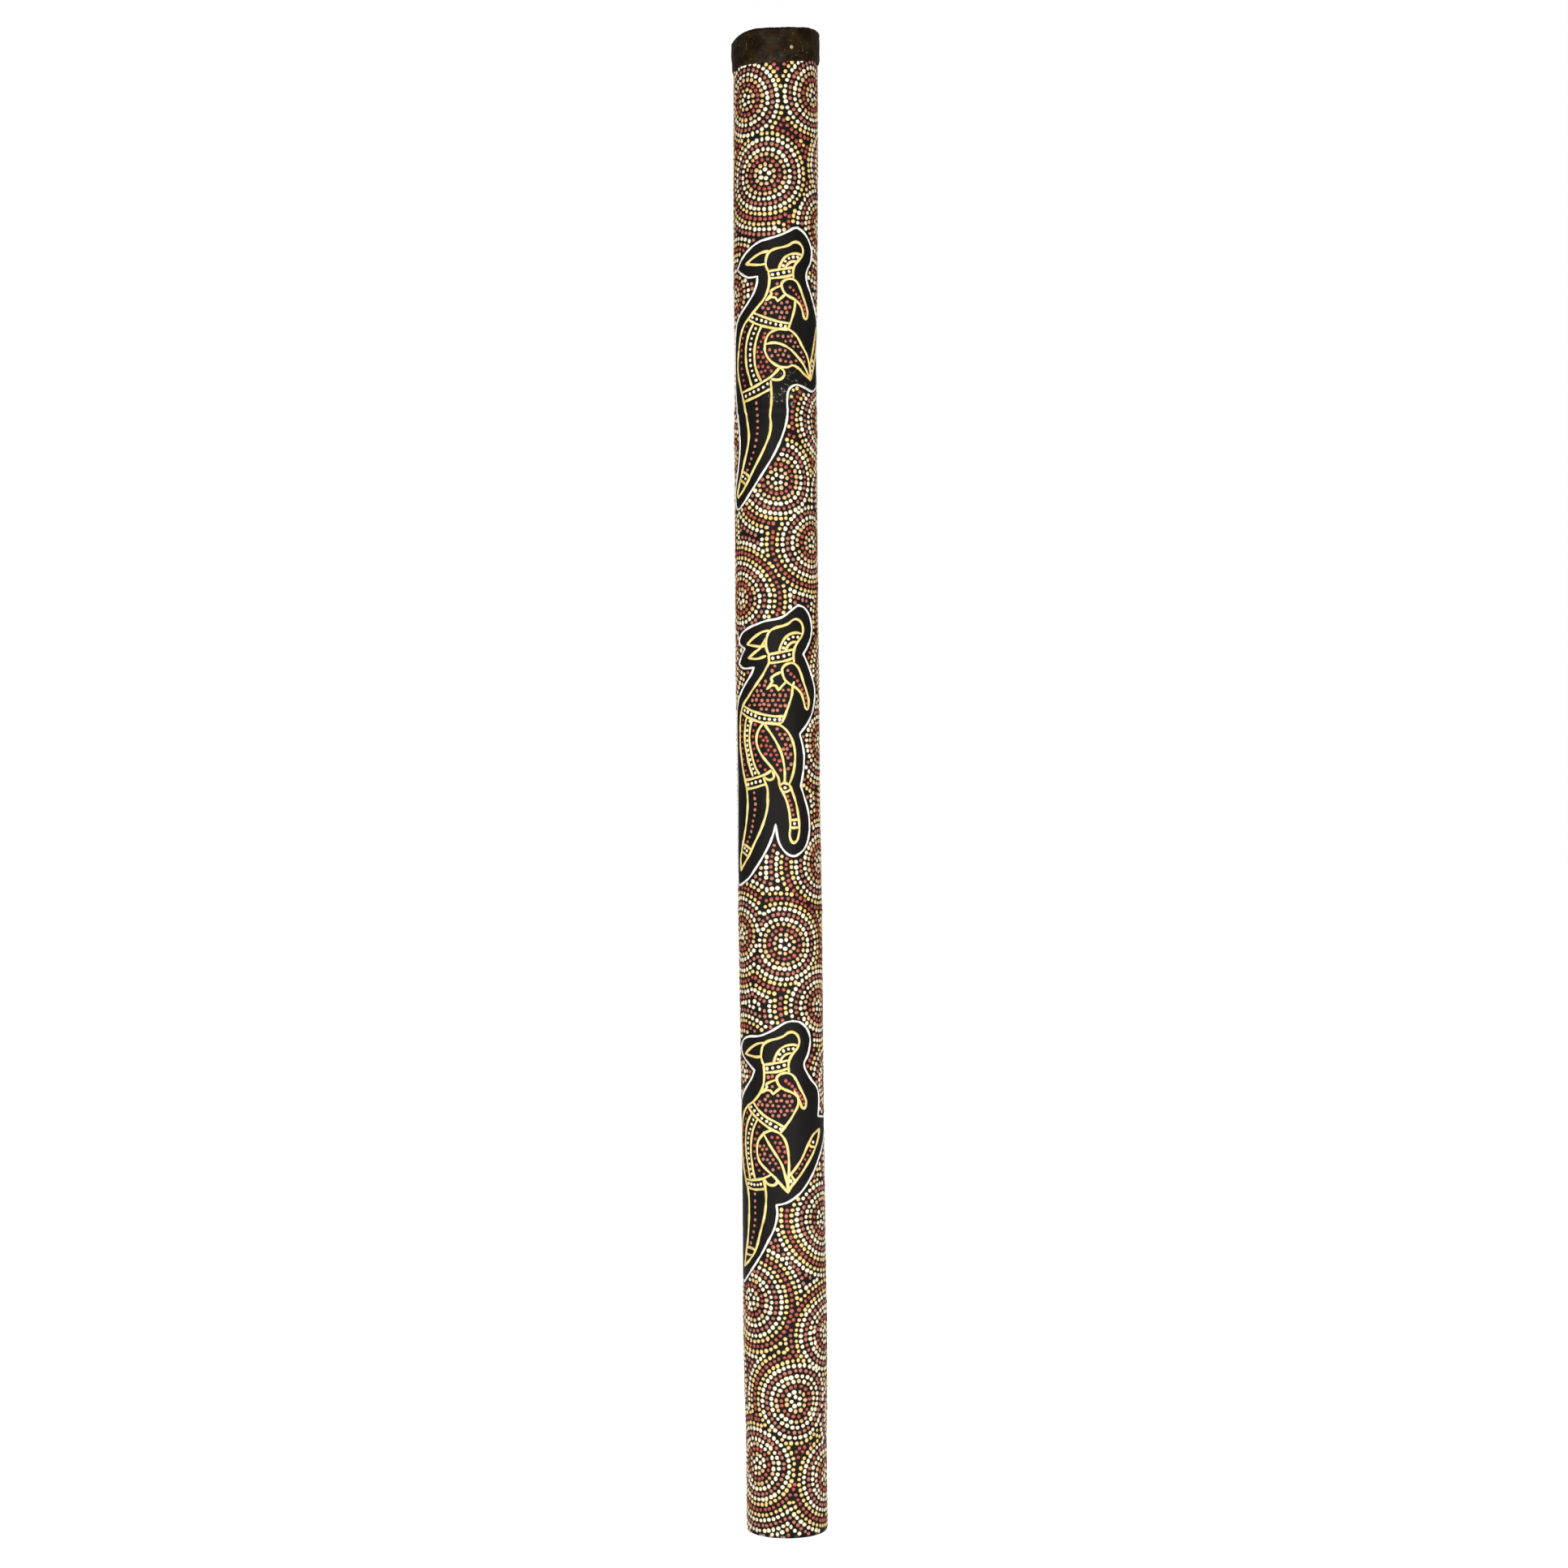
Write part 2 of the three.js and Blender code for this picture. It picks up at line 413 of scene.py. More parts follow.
studio = {
    "floorSize": 30,
    "floorBounce": 0.1,  # the floor's own light on the object
    "floorGlow": 0.85,   # and towards the camera
    "surround": 0.22,    # how bright the room is to the object
    "backdrop": 1.0,     # and to the camera
    "lamps": [           # place, size, power, colour
        ((-0.6, -2.6, 0.8), 1.4, 40, (1.0, 0.98, 0.95)),
        ((0.8, -2.5, 0.2), 1.4, 35, (0.98, 0.98, 1.0)),
        ((-0.8, -1.3, 0.05), 0.6, 11, (1.0, 0.97, 0.94)),
        ((0.8, -1.3, 0.05), 0.6, 11, (1.0, 0.97, 0.94)),
        ((0.0, 2.0, 2.6), 1.2, 95, (1.0, 1.0, 1.0)),
    ],
}


def setStudio():
    bpy.ops.mesh.primitive_plane_add(size=studio["floorSize"], location=(0, 0, 0))
    floor = justAdded("studioFloor")
    floor.data.materials.append(whiteFloor())
    for place, size, power, colour in studio["lamps"]:
        bpy.ops.object.light_add(type="AREA", location=place)
        lamp = bpy.context.object
        lamp.data.shape = "DISK"
        lamp.data.size = size
        lamp.data.energy = power
        lamp.data.color = colour
        aim = np.array([0, 0, 0.5]) - np.array(place)
        flat = math.hypot(aim[0], aim[1])
        lamp.rotation_euler = (math.atan2(flat, -aim[2]), 0, math.atan2(aim[1], aim[0]) - math.pi / 2)
    world = bpy.data.worlds.new("paleRoom")
    world.use_nodes = True
    bpy.context.scene.world = world
    tree = world.node_tree
    ground = next(n for n in tree.nodes if n.type == "BACKGROUND")
    tree.links.new(towardsCamera(tree, studio["surround"], studio["backdrop"]), ground.inputs["Color"])
    ground.inputs["Strength"].default_value = 1
    bpy.context.scene.view_settings.view_transform = "Standard"


setCamera()
setStudio()
print("camera and studio set")


culm = {
    "sides": 128,
    "ringGap": 10,       # height between the rings of the straight stretches
    "boreGap": 8,        # and inside
    "nodeReach": 12,     # how far each node's finer rings reach
    "nodeCuts": 7,
    "boreRadius": 22.5,
    "ledge": 1.1,        # how far what is left of each partition stands in
    "footRounding": 1.4,
}


def inBore(a, b):
    return np.maximum(a.out, b.out) < culm["boreRadius"] + 0.5


def outerFoot(a, b):
    return (np.maximum(a.z, b.z) < 0.01) & (np.minimum(a.out, b.out) > stick["girth"] - 0.5)


def makeCulm():
    deselectAll()
    top = stick["slantTo"]
    bpy.ops.mesh.primitive_cylinder_add(
        vertices=culm["sides"], radius=stick["girth"] * mm, depth=top * mm,
        end_fill_type="NOTHING", location=(0, 0, top / 2 * mm))
    piece = justAdded("painted_culm")
    bpy.ops.object.transform_apply(location=True, rotation=True, scale=True)
    pick(piece, "EDGE", upright)
    bpy.ops.mesh.subdivide(number_cuts=round(top / culm["ringGap"]) - 1)
    for node in stick["nodes"]:
        pick(piece, "EDGE", lambda a, b: upright(a, b) & (abs((a.z + b.z) / 2 - node) < culm["nodeReach"]))
        bpy.ops.mesh.subdivide(number_cuts=culm["nodeCuts"])
    share = culm["boreRadius"] / stick["girth"]
    for end in (0, top):  # the wall's two sawn ends
        pick(piece, "EDGE", lambda a, b: (abs(a.z - end) < 0.01) & (abs(b.z - end) < 0.01))
        bpy.ops.mesh.extrude_region_move()
        bpy.ops.transform.resize(value=(share, share, 1), center_override=(0, 0, end * mm))
    pick(piece, "EDGE", inBore)
    bpy.ops.mesh.bridge_edge_loops()
    pick(piece, "EDGE", lambda a, b: upright(a, b) & inBore(a, b))
    bpy.ops.mesh.subdivide(number_cuts=round(top / culm["boreGap"]) - 1)
    share = 1 - culm["ledge"] / culm["boreRadius"]
    for node in stick["nodes"]:
        pick(piece, "VERT", lambda p: (p.out < culm["boreRadius"] + 0.5) & (abs(p.z - node) < 5))
        bpy.ops.transform.resize(value=(share, share, 1), center_override=(0, 0, node * mm))
    pick(piece, "EDGE", outerFoot)
    bpy.ops.mesh.bevel(offset=culm["footRounding"] * mm, segments=4, affect="EDGES")
    bpy.ops.mesh.select_all(action="SELECT")
    bpy.ops.mesh.remove_doubles(threshold=1e-6)
    bpy.ops.mesh.normals_make_consistent(inside=False)
    bpy.ops.object.mode_set(mode="OBJECT")
    wrapRound(piece)
    bpy.ops.object.shade_smooth_by_angle(angle=math.radians(40))
    settle(piece, "stick", "black_paint", finishes["black"], "bamboo_culm")


makeCulm()
print("culm made")


# The seal over the upper end.

seal = {
    "radius": 29.3,
    "top": 1000.9,      # on the axis
    "hem": 977.9,
    "rounding": 3.6,
    "wall": 1.2,
    "lumps": 0.45,
    "hemWander": 0.9,
    "hemRise": 2.2,     # the hem stands higher at the two sides
    "crest": 3.1,       # resin heaped on the lower half of the rim
}


def makeSeal():
    deselectAll()
    tall = seal["top"] - seal["hem"]
    bpy.ops.mesh.primitive_cylinder_add(
        vertices=120, radius=seal["radius"] * mm, depth=tall * mm,
        end_fill_type="NGON", location=(0, 0, (seal["top"] - tall / 2) * mm))
    piece = justAdded("brown_seal")
    bpy.ops.object.transform_apply(location=True, rotation=True, scale=True)
    pick(piece, "FACE", lambda c, n: n.z < -0.5)
    bpy.ops.mesh.delete(type="FACE")
    pick(piece, "EDGE", upright)
    bpy.ops.mesh.subdivide(number_cuts=14)
    pick(piece, "EDGE", lambda a, b: np.minimum(a.z, b.z) > seal["top"] - 0.01)
    bpy.ops.mesh.bevel(offset=seal["rounding"] * mm, segments=6, affect="EDGES")
    pick(piece, "FACE", lambda c, n: (n.z > 0.99) & (c.z > seal["top"] - 0.01))
    for step in (3.0, 4.0, 5.0, 6.0, 5.0):
        bpy.ops.mesh.inset(thickness=step * mm)
    bpy.ops.mesh.poke()
    bpy.ops.mesh.select_all(action="SELECT")
    bpy.ops.mesh.normals_make_consistent(inside=False)
    bpy.ops.object.mode_set(mode="OBJECT")
    place = pointsOf(piece)
    for i, (x, y, up) in enumerate(place):  # the dipped edge wanders, and the skin is lumpy
        outward = np.array([x, y, 0]) / max(math.hypot(x, y), 1)
        lump = noise.fractal((x / 9, y / 9, up / 9), 0.6, 2.0, 4) * seal["lumps"]
        hemward = np.clip((seal["hem"] + 8 - up) / 8, 0, 1)
        wander = noise.noise((x / 7, y / 7, 3.1)) + 0.4 * noise.noise((x / 2.5, y / 2.5, 8.7))
        rise = wander * seal["hemWander"] + seal["hemRise"] * (x / seal["radius"]) ** 2
        rimward = np.clip((up - seal["hem"] - 8) / 14, 0, 1)
        heap = seal["crest"] * math.exp(-((x / seal["radius"] + 0.6) / 0.52) ** 2)
        place[i] += outward * lump + np.array([0, 0, hemward * rise + rimward * heap])
        place[i] -= outward * hemward ** 2 * 0.55
    piece.data.vertices.foreach_set("co", (place * mm).ravel())
    piece.modifiers.new("wall", "SOLIDIFY").thickness = seal["wall"] * mm
    finer = piece.modifiers.new("finer", "SUBSURF")
    finer.levels = finer.render_levels = 1
    applyAll(piece)
    wrapRound(piece)
    bpy.ops.object.shade_smooth()
    settle(piece, "stick", "brown_resin", finishes["seal"], "upper_seal")


makeSeal()
print("seal made")


# The dowels that show in the seal.

dowels = {
    "count": 3,
    "first": math.radians(21),  # from the front, towards +X
    "height": 988,
    "radius": 1.25,
    "reach": 29.75,             # of the outer end, from the axis
    "long": 15.9,
    "worn": 0.35,
}


def outerEnd(a, b):
    return np.minimum(a.out, b.out) > dowels["reach"] - 0.2


def makeDowel(i):
    deselectAll()
    angle = dowels["first"] + i * 2 * math.pi / dowels["count"]
    middle = dowels["reach"] - dowels["long"] / 2
    place = (middle * math.sin(angle), -middle * math.cos(angle), dowels["height"])
    bpy.ops.mesh.primitive_cylinder_add(
        vertices=24, radius=dowels["radius"] * mm, depth=dowels["long"] * mm,
        location=[value * mm for value in place], rotation=(math.radians(90), 0, angle))
    piece = justAdded(f"seal_dowel_{i + 1}")
    bpy.ops.object.transform_apply(location=True, rotation=True, scale=True)
    pick(piece, "EDGE", outerEnd)
    bpy.ops.mesh.bevel(offset=dowels["worn"] * mm, segments=3, affect="EDGES")
    bpy.ops.object.mode_set(mode="OBJECT")
    bpy.ops.object.shade_smooth_by_angle(angle=math.radians(50))
    settle(piece, "stick", "split_bamboo", finishes["dowel"], f"upper_dowel_{i + 1:02d}")


for i in range(dowels["count"]):
    makeDowel(i)
print("dowels made")


# Painted figures: outlines, lines and rows of dots, laid out flat.

def smoothPath(points, step=0.8):  # a smooth line through points; a third value makes a sharp corner
    last = len(points) - 1
    corners = [0] + [i for i, point in enumerate(points) if len(point) > 2 and 0 < i < last] + [last]
    pieces = []
    for start, end in zip(corners, corners[1:]):
        run = np.array([p[:2] for p in points[start:end + 1]], float)
        ends = [2 * run[0] - run[1]], [2 * run[-1] - run[-2]]
        if start == 0 and end == last and np.allclose(run[0], run[-1]):
            ends = [run[-2]], [run[1]]
        hull = np.concatenate([ends[0], run, ends[1]])
        for a, b, c, d in zip(hull, hull[1:], hull[2:], hull[3:]):
            count = max(2, int(np.hypot(*(c - b)) / step))
            t = np.linspace(0, 1, count, endpoint=False)[:, None]
            pieces.append(0.5 * (2 * b + (c - a) * t + (2 * a - 5 * b + 4 * c - d) * t ** 2
                                 + (3 * b - a - 3 * c + d) * t ** 3))
    return np.concatenate(pieces + [[points[-1][:2]]])


def evenly(points, count):  # so many points, evenly spaced along a smooth line
    path = smoothPath(points, 0.3)
    along = np.concatenate([[0], np.cumsum(np.hypot(*np.diff(path, axis=0).T))])
    at = np.linspace(0, along[-1], count)
    return np.stack([np.interp(at, along, path[:, 0]), np.interp(at, along, path[:, 1])], -1)


# What the three kangaroos share: head, ears, neck, arm and hand, with heights from the tip of the tail.
kangaroo = {
    "lines": [
        [(-4.8, 158.5), (-6.5, 163), (-6, 168), (-4, 171.5), (0, 173.5), (5, 174.6), (9, 176),
         (12.2, 178), (15.5, 178.3), (18.6, 176.4), (20, 173), (19, 169.3), (15.6, 165.7), (13.2, 162.4),
         (12.2, 158.5), (12.6, 153.6)],
        [(-3.6, 172), (-9, 171.3), (-15, 168.6), (-21.5, 164.6, "sharp"), (-15, 163.6), (-10, 163.2),
         (-6.3, 163.8)],
        [(2.2, 159.6), (3.5, 163.6), (6.2, 167.6), (10, 170), (14.6, 170.8), (18.8, 170.2)],
        [(6.3, 160.4), (8.2, 163.2), (11, 165.2), (14.8, 165.8)],
        [(-5, 158.6), (2.4, 159.7), (8, 160.6), (12.4, 161.6)],
        [(-4.2, 153.8), (3, 154.5), (8, 155.4), (12.3, 156.8)],
        [(4.6, 147.4), (4.3, 150.6), (6.9, 153), (11.2, 153.8), (15, 152), (17.7, 148), (20, 143),
         (23, 137.3), (24.7, 132.6), (23.6, 128.4), (21.4, 129), (20, 132.6), (17.9, 136.9), (14, 140),
         (9.2, 142.2), (6.2, 144.4), (4.6, 147.4)],
        [(4.3, 149), (0.6, 147.8), (-3, 145.6), (-2.4, 143.6, "sharp"), (-6.2, 139.4, "sharp"),
         (-2.8, 141.4), (0, 141.2, "sharp"), (1.6, 138.8, "sharp"), (4, 141), (7, 143.6)],
    ],
    "rows": [  # paint, dot radius, line that they sit on, how many
        ("white", 1.15, [(5.2, 162.2), (7, 165.6), (9.6, 167.6), (12.4, 168.3), (15.6, 168.4)], 5),
        ("white", 1.2, [(-2, 156.4), (3, 157.1), (9.2, 158.5)], 4),
        ("red", 1.2, [(10.2, 148), (12.9, 145.8), (15.6, 142.8), (18.8, 139), (21.6, 135.4),
                      (22.8, 131.8)], 8),
    ],
}

# Each figure has its own body, tail, hind leg and black field, with heights on the stick. Dots either
# sit in rows, given as paint, radius, line and how many, or fill a region, given by its outline.
figures = {
    "upper": {
        "shift": 0,
        "heights": ((0, 681), (178.3, 859.3)),
        "body": [
            [(-4.8, 839.5), (-4, 834.5), (-4.9, 828), (-7.8, 821.5), (-12.4, 816.5), (-16, 813),
             (-20.4, 809), (-24.6, 805), (-28.4, 798.5), (-31, 790)],
            [(13.8, 820.8), (13.6, 816), (12.2, 810.7), (10.6, 806), (8.6, 800.8)],
            [(-16, 813), (-10, 810.4), (-3.4, 807.9), (3, 806.2), (10.2, 805.2)],
            [(-20.4, 809), (-14, 805.6), (-7, 803.2), (0, 801.7), (8.6, 800.8)],
            [(-31, 790), (-32.5, 781), (-31.8, 773), (-28.6, 764.2), (-25.6, 756.5), (-22.8, 748),
             (-20.8, 740), (-19.6, 732), (-20.8, 724), (-24, 715), (-27, 707.4), (-30.3, 700.2),
             (-33.2, 694), (-32, 691.4, "sharp"), (-26.5, 695), (-21.3, 700.8), (-15, 710.5), (-8.8, 721),
             (-4.3, 731.4), (-3.3, 738.5), (-3.8, 744.5), (-3, 751.5), (-2.8, 759), (-3.4, 767.6)],
            [(-15.9, 805.8), (-20.2, 798.5), (-22.6, 789.5), (-22.2, 779), (-19.8, 771), (-17.2, 764)],
            [(-9.7, 803.8), (-12.6, 797.8), (-15, 789), (-14.8, 778.8), (-12.6, 772), (-10, 767)],
            [(3.2, 776.2), (-1.2, 771.6), (-4.8, 768.8), (-9.8, 766.2), (-16.8, 763.2), (-27, 760.6)],
            [(-3.6, 761.8), (-8.6, 759.4), (-15, 756.8), (-24.6, 754.4)],
            [(3.2, 776), (5.8, 773.6), (6, 770.8), (3.6, 768.3), (0.2, 767.8), (-3, 768.4)],
            [(-26.6, 708.4), (-22.9, 706.8), (-19.4, 704)],
            [(-29, 703), (-25.4, 701), (-22.8, 699)],
        ],
        "field": [(15.5, 869), (21, 866), (26.3, 860.3), (29, 854), (27.4, 847), (23.6, 841),
                  (23.4, 834.5), (27.9, 826.5), (32.4, 820), (38, 813), (46, 808), (51, 798), (51, 786),
                  (46, 774), (40, 766.5), (33, 762.4), (28, 761.9), (21, 763.7), (15.5, 764.8),
                  (11.2, 763.4), (8.7, 759.8), (8, 753), (8.2, 745.7), (6.6, 737), (3, 727), (-2, 717),
                  (-8.6, 707), (-16.8, 696), (-24.7, 687.5), (-31.5, 683.6), (-36, 686), (-38, 695),
                  (-33, 708), (-29.4, 722), (-29.4, 735), (-33, 748), (-37, 762), (-39, 780),
                  (-38.5, 795), (-35, 806), (-29.5, 812), (-21.5, 818.6), (-16, 825), (-13, 831.6),
                  (-12.4, 836.6, "sharp"), (-19.6, 836.6), (-26, 839.6), (-31.6, 843.2, "sharp"),
                  (-25, 850.4), (-17.6, 856), (-10.9, 859.6), (-4.8, 861.2), (1.7, 863), (7.5, 865.5),
                  (12.2, 868.3), (15.5, 869)],
        "lines": [
            [(-7.6, 788), (-6.8, 794), (-4.1, 798.6), (1, 801.2), (6, 801.8), (10.5, 800.7), (15.4, 797),
             (20, 790.6), (24.4, 785), (27.6, 777.4), (28.2, 769, "sharp"), (21, 772.8), (16.3, 776.2),
             (12, 777.6), (8.9, 776.4), (5.3, 776.2), (1.6, 777), (-3.4, 780.3), (-6.4, 784.6),
             (-7.6, 788)],
            [(-7, 791.6), (-1.2, 792.4), (4.6, 791.2), (10.5, 788.2), (15.5, 783.9), (21, 778.6),
             (28.2, 769)],
            [(28.2, 769), (32, 776), (36, 785), (40, 794), (42.4, 802), (40.4, 806, "sharp"), (37, 802),
             (33.4, 793), (30.4, 785.4), (27.4, 778)],
            [(29.6, 783.4), (32.2, 782), (34.6, 781.6)],
            [(28, 776.4), (30.4, 775.4), (31.8, 775.6)],
        ],
        "rows": [
            ("white", 1.1, [(30.6, 779), (30.9, 779.6)], 1),
            ("red", 1.0, [(34, 787), (38.4, 798)], 4),
            ("white", 1.15, [(-16.4, 809.7), (-10.4, 807.6), (-3, 805.2), (7, 803.2)], 8),
            ("white", 1.15, [(-14, 802.4), (-17.2, 796), (-18.8, 789), (-18.5, 779.5), (-16, 772),
                             (-14, 768)], 11),
            ("white", 1.15, [(-22.6, 758.2), (-15.4, 760.4), (-9.4, 762.8), (-5.4, 765)], 6),
            ("white", 1.1, [(-25.8, 705), (-23.4, 703.4)], 2),
            ("salmon", 1.15, [(-13.8, 753), (-13, 746), (-12.6, 738), (-13.2, 730), (-15.4, 722),
                              (-18.2, 715), (-21.4, 709)], 12),
            ("red", 1.0, [(-21.6, 804.4), (-25.2, 797.4), (-27.2, 789.5), (-27.4, 780), (-25.6, 771),
                          (-23.4, 765)],
             11),
        ],
        "fills": [("salmon", 1.2, [(-6, 792), (-4, 798), (6, 801), (15, 796), (27, 778), (28, 771),
                                   (16, 784), (4, 792)]),
                  ("salmon", 1.25, [(-6, 790), (4, 790), (15, 783), (27, 771), (16, 777), (2, 778),
                                    (-6, 785)]),
                  ("salmon", 1.25, [(-4, 834), (12, 836), (9, 826), (4, 825), (-3, 819), (6, 822),
                                    (13, 820), (11, 806), (-3, 808), (-14, 813), (-6, 823)]),
                  ("red", 1.2, [(-9.7, 803), (-4, 800), (-7, 789), (-3, 780), (3, 776), (-9, 767),
                                (-12, 772), (-14, 781), (-14, 791)])],
    },
    "middle": {
        "shift": -1,
        "heights": ((100, 519), (128.4, 549.8), (154.5, 581), (178.3, 609.2)),
        "body": [
            [(-5.8, 586), (-5.6, 580.6), (-7.4, 577), (-10.6, 571.6), (-15, 566.1), (-21.4, 558.6),
             (-27.4, 552.4), (-31, 545), (-32, 534.1)],
            [(11.6, 568), (10.4, 564.4), (9.6, 558.5), (7.4, 552), (4.8, 545.4), (2.6, 540.4)],
            [(-27, 552.5), (-22.4, 550.4), (-17.5, 548.4), (-9, 546), (-1.2, 544.8), (4.6, 545)],
            [(-30, 548.6), (-25, 545.8), (-20.4, 543.8), (-11.3, 541), (-3.4, 539.9), (2.6, 540.4)],
            [(-32, 534.1), (-32, 526), (-30.4, 518.4), (-28.5, 510.4), (-26, 502.7), (-24.2, 496.4),
             (-23.5, 487), (-24.7, 476.4), (-27, 467.2), (-30, 459), (-33, 450.4),
             (-32.4, 442.6, "sharp"), (-23.3, 451.8), (-18.2, 459.8), (-13.2, 468.4), (-9.6, 477),
             (-7.7, 484.5), (-7.4, 491.5), (-7.6, 497.4), (-10.4, 504.6)],
            [(-23, 545), (-24.8, 541), (-25.7, 535), (-25.7, 527.7), (-23.7, 519.7), (-21.1, 511.6),
             (-18.2, 505)],
            [(-18.4, 543.2), (-20, 539), (-21, 533), (-21, 527.7), (-19.2, 519.7), (-16.4, 511.6),
             (-13.1, 506.4)],
            [(-25.8, 502.9), (-19.4, 503.6), (-12.7, 505.2), (-8, 507), (-4.6, 509.4)],
            [(-24.4, 497), (-20.8, 497.2), (-17, 497.8), (-13.8, 498.6), (-8, 500.2)],
            [(-9.6, 505.4), (-8.2, 503.6), (-5.8, 502.8), (-3.8, 503.6), (-2.9, 505.4), (-3.4, 507.2),
             (-4.2, 508.6)],
            [(-30.2, 460.6), (-25.4, 459.2), (-20.4, 456.6)],
            [(-31, 455.4), (-27, 453.8), (-23.3, 451.8)],
        ],
        "field": [(14.9, 618.6), (20.3, 617), (25.4, 611.6), (27.7, 604.6), (26.4, 597.4), (22.6, 591),
                  (18.9, 586.2, "sharp"), (24, 577.7), (28.6, 569), (31.2, 561.4), (29.4, 551.8),
                  (24.1, 542.5), (15.4, 533.1, "sharp"), (18, 524.5), (18.9, 517.3), (18, 507.9),
                  (15.9, 498.6, "sharp"), (18.9, 490.7), (22.2, 481.3), (23.2, 471), (21.6, 463),
                  (18.2, 457), (13.4, 453.4), (9.9, 452.2), (5.6, 453.6), (1.6, 458), (-0.8, 463.8),
                  (-2.2, 473.4, "sharp"), (-4, 466.7), (-6.9, 459.5), (-11, 452.3), (-16.6, 444.4),
                  (-23.6, 437.2), (-34.5, 432.8), (-40, 435), (-42, 446), (-40.5, 470), (-39, 500),
                  (-39.6, 525), (-39, 545), (-35, 555), (-30, 561), (-24.8, 566.4), (-19.4, 572.4),
                  (-16.6, 577.4, "sharp"), (-26, 577.2), (-32.4, 580.4, "sharp"), (-29, 585),
                  (-24.8, 590.2, "sharp"), (-31.8, 594.4), (-28.6, 600), (-21.8, 603.6), (-14.7, 606),
                  (-7.4, 608.2), (-0.2, 609.4), (4.8, 611.2), (10.1, 615.2), (14.9, 618.6)],
        "lines": [
            [(-7.4, 597), (-11.5, 590.6), (-15.6, 587.6), (-21.2, 583.9, "sharp"), (-14, 583.2),
             (-7.4, 585)],
            [(-9.5, 540.6), (-4.9, 540.6), (1.6, 538.9), (6.7, 534.5), (10.1, 528.1), (11.7, 520.5),
             (11.2, 512), (9.6, 505.4), (7.2, 499.6)],
            [(-9.5, 540.6), (-12.4, 537.6), (-14.8, 532.8), (-15, 527), (-12.4, 520.9), (-7.9, 515),
             (-3.6, 510), (0, 504), (0.6, 498.6)],
            [(-9.3, 540), (-4.9, 533.8), (-1.3, 528), (1.8, 521.4), (3.5, 515), (4.3, 508), (4.2, 500.4)],
            [(0.6, 498.6), (3.4, 493.4), (5.9, 487), (7.4, 479.8), (7.7, 472), (7.2, 466), (8.2, 462.4),
             (10, 461), (12.6, 462.8), (13.9, 467), (14.3, 471.4), (13.6, 479.4), (11.7, 488.4),
             (8.2, 498), (7.2, 499.6)],
            [(0.6, 498.8), (3.6, 500.8), (7.4, 499.6)],
            [(2.4, 495.2), (5, 494.8), (8.8, 496.6)],
            [(8, 476), (11, 476.2), (13.8, 476.8)],
            [(7.8, 471), (11, 471), (14.2, 471.4)],
        ],
        "rows": [
            ("white", 1.2, [(4.6, 497.6), (5.2, 497.6)], 1),
            ("white", 1.1, [(10.7, 473.7), (11.2, 473.7)], 1),
            ("red", 1.15, [(6, 492), (8.4, 486.4), (10.2, 479.6)], 5),
            ("white", 1.15, [(-25.6, 549.4), (-17.6, 545.8), (-9, 543.4), (1.4, 542.6)], 9),
            ("white", 1.1, [(-20.6, 542), (-22.6, 538.6), (-23.2, 534), (-23.2, 526), (-21.4, 519),
                            (-18.6, 511.2), (-16.2, 507.4)], 12),
            ("white", 1.15, [(-23, 500), (-19.8, 500.4), (-16.4, 501.2), (-12.4, 502)], 4),
            ("white", 1.1, [(-27.2, 457.4), (-24.8, 455.8)], 2),
            ("salmon", 1.15, [(-17.6, 494.2), (-16.6, 485.7), (-17.8, 478), (-20.6, 467.8),
                              (-23.6, 461.8)], 10),
            ("red", 1.0, [(-27.6, 543), (-28.6, 538), (-29.2, 531), (-28.2, 520), (-25.8, 511),
                          (-23.4, 506)], 11),
            ("red", 1.15, [(-16, 539.6), (-17.6, 534), (-17.8, 527), (-16, 520), (-12.6, 512.6),
                           (-9, 509.8)], 9),
        ],
        "fills": [("salmon", 1.25, [(-5, 580), (11, 582), (8, 573), (2, 572), (-4, 566), (4, 567),
                                    (11, 565), (4, 546), (-10, 547), (-24, 553), (-14, 567)]),
                  ("salmon", 1.25, [(-8, 540), (2, 538), (10, 528), (11, 514), (8, 504), (4, 508),
                                    (1, 522)]),
                  ("red", 1.25, [(-10, 538), (-14, 530), (-10, 518), (0, 505), (4, 503), (1, 520)])],
    },
    "lower": {
        "shift": -7.8,
        "heights": ((100, 257.6), (128.4, 285), (154.5, 309.4), (178.3, 335.6)),
        "body": [
            [(-12.6, 314.4), (-12.2, 308.6), (-12.8, 301.6), (-15.4, 295.4), (-20.6, 289.8), (-27, 286),
             (-32, 281.6), (-36, 275), (-38.8, 266.5)],
            [(7.8, 297), (10.8, 292), (10.6, 287), (8.1, 282.4), (5.4, 278), (1.2, 272.6), (-1.8, 268.9)],
            [(-21.6, 289), (-16.5, 283.4), (-10.8, 279.2), (-4.7, 276.2), (1.2, 272.6)],
            [(-27, 286.2), (-24, 282.6), (-17.9, 278), (-12.3, 274.2), (-6.7, 270.9), (-1.8, 268.9)],
            [(-38.8, 266.5), (-38, 256), (-35.4, 246), (-31.6, 237), (-28.6, 231), (-27.2, 224),
             (-27.2, 215), (-28, 205), (-29.6, 195), (-32.4, 186), (-34.4, 178.4, "sharp"), (-27, 183.4),
             (-20.8, 190.8), (-16.6, 203), (-13.8, 212), (-12.5, 219), (-12, 225.4), (-12.4, 232),
             (-14, 238.8)],
            [(-23.2, 281), (-27.6, 275), (-30, 268.4), (-30.8, 261.2), (-30, 254), (-28, 246.3),
             (-25.6, 237.6)],
            [(-18, 277.4), (-21.8, 270.8), (-23.8, 263.6), (-24.4, 256), (-23.6, 249.2), (-22, 242),
             (-20.6, 238)],
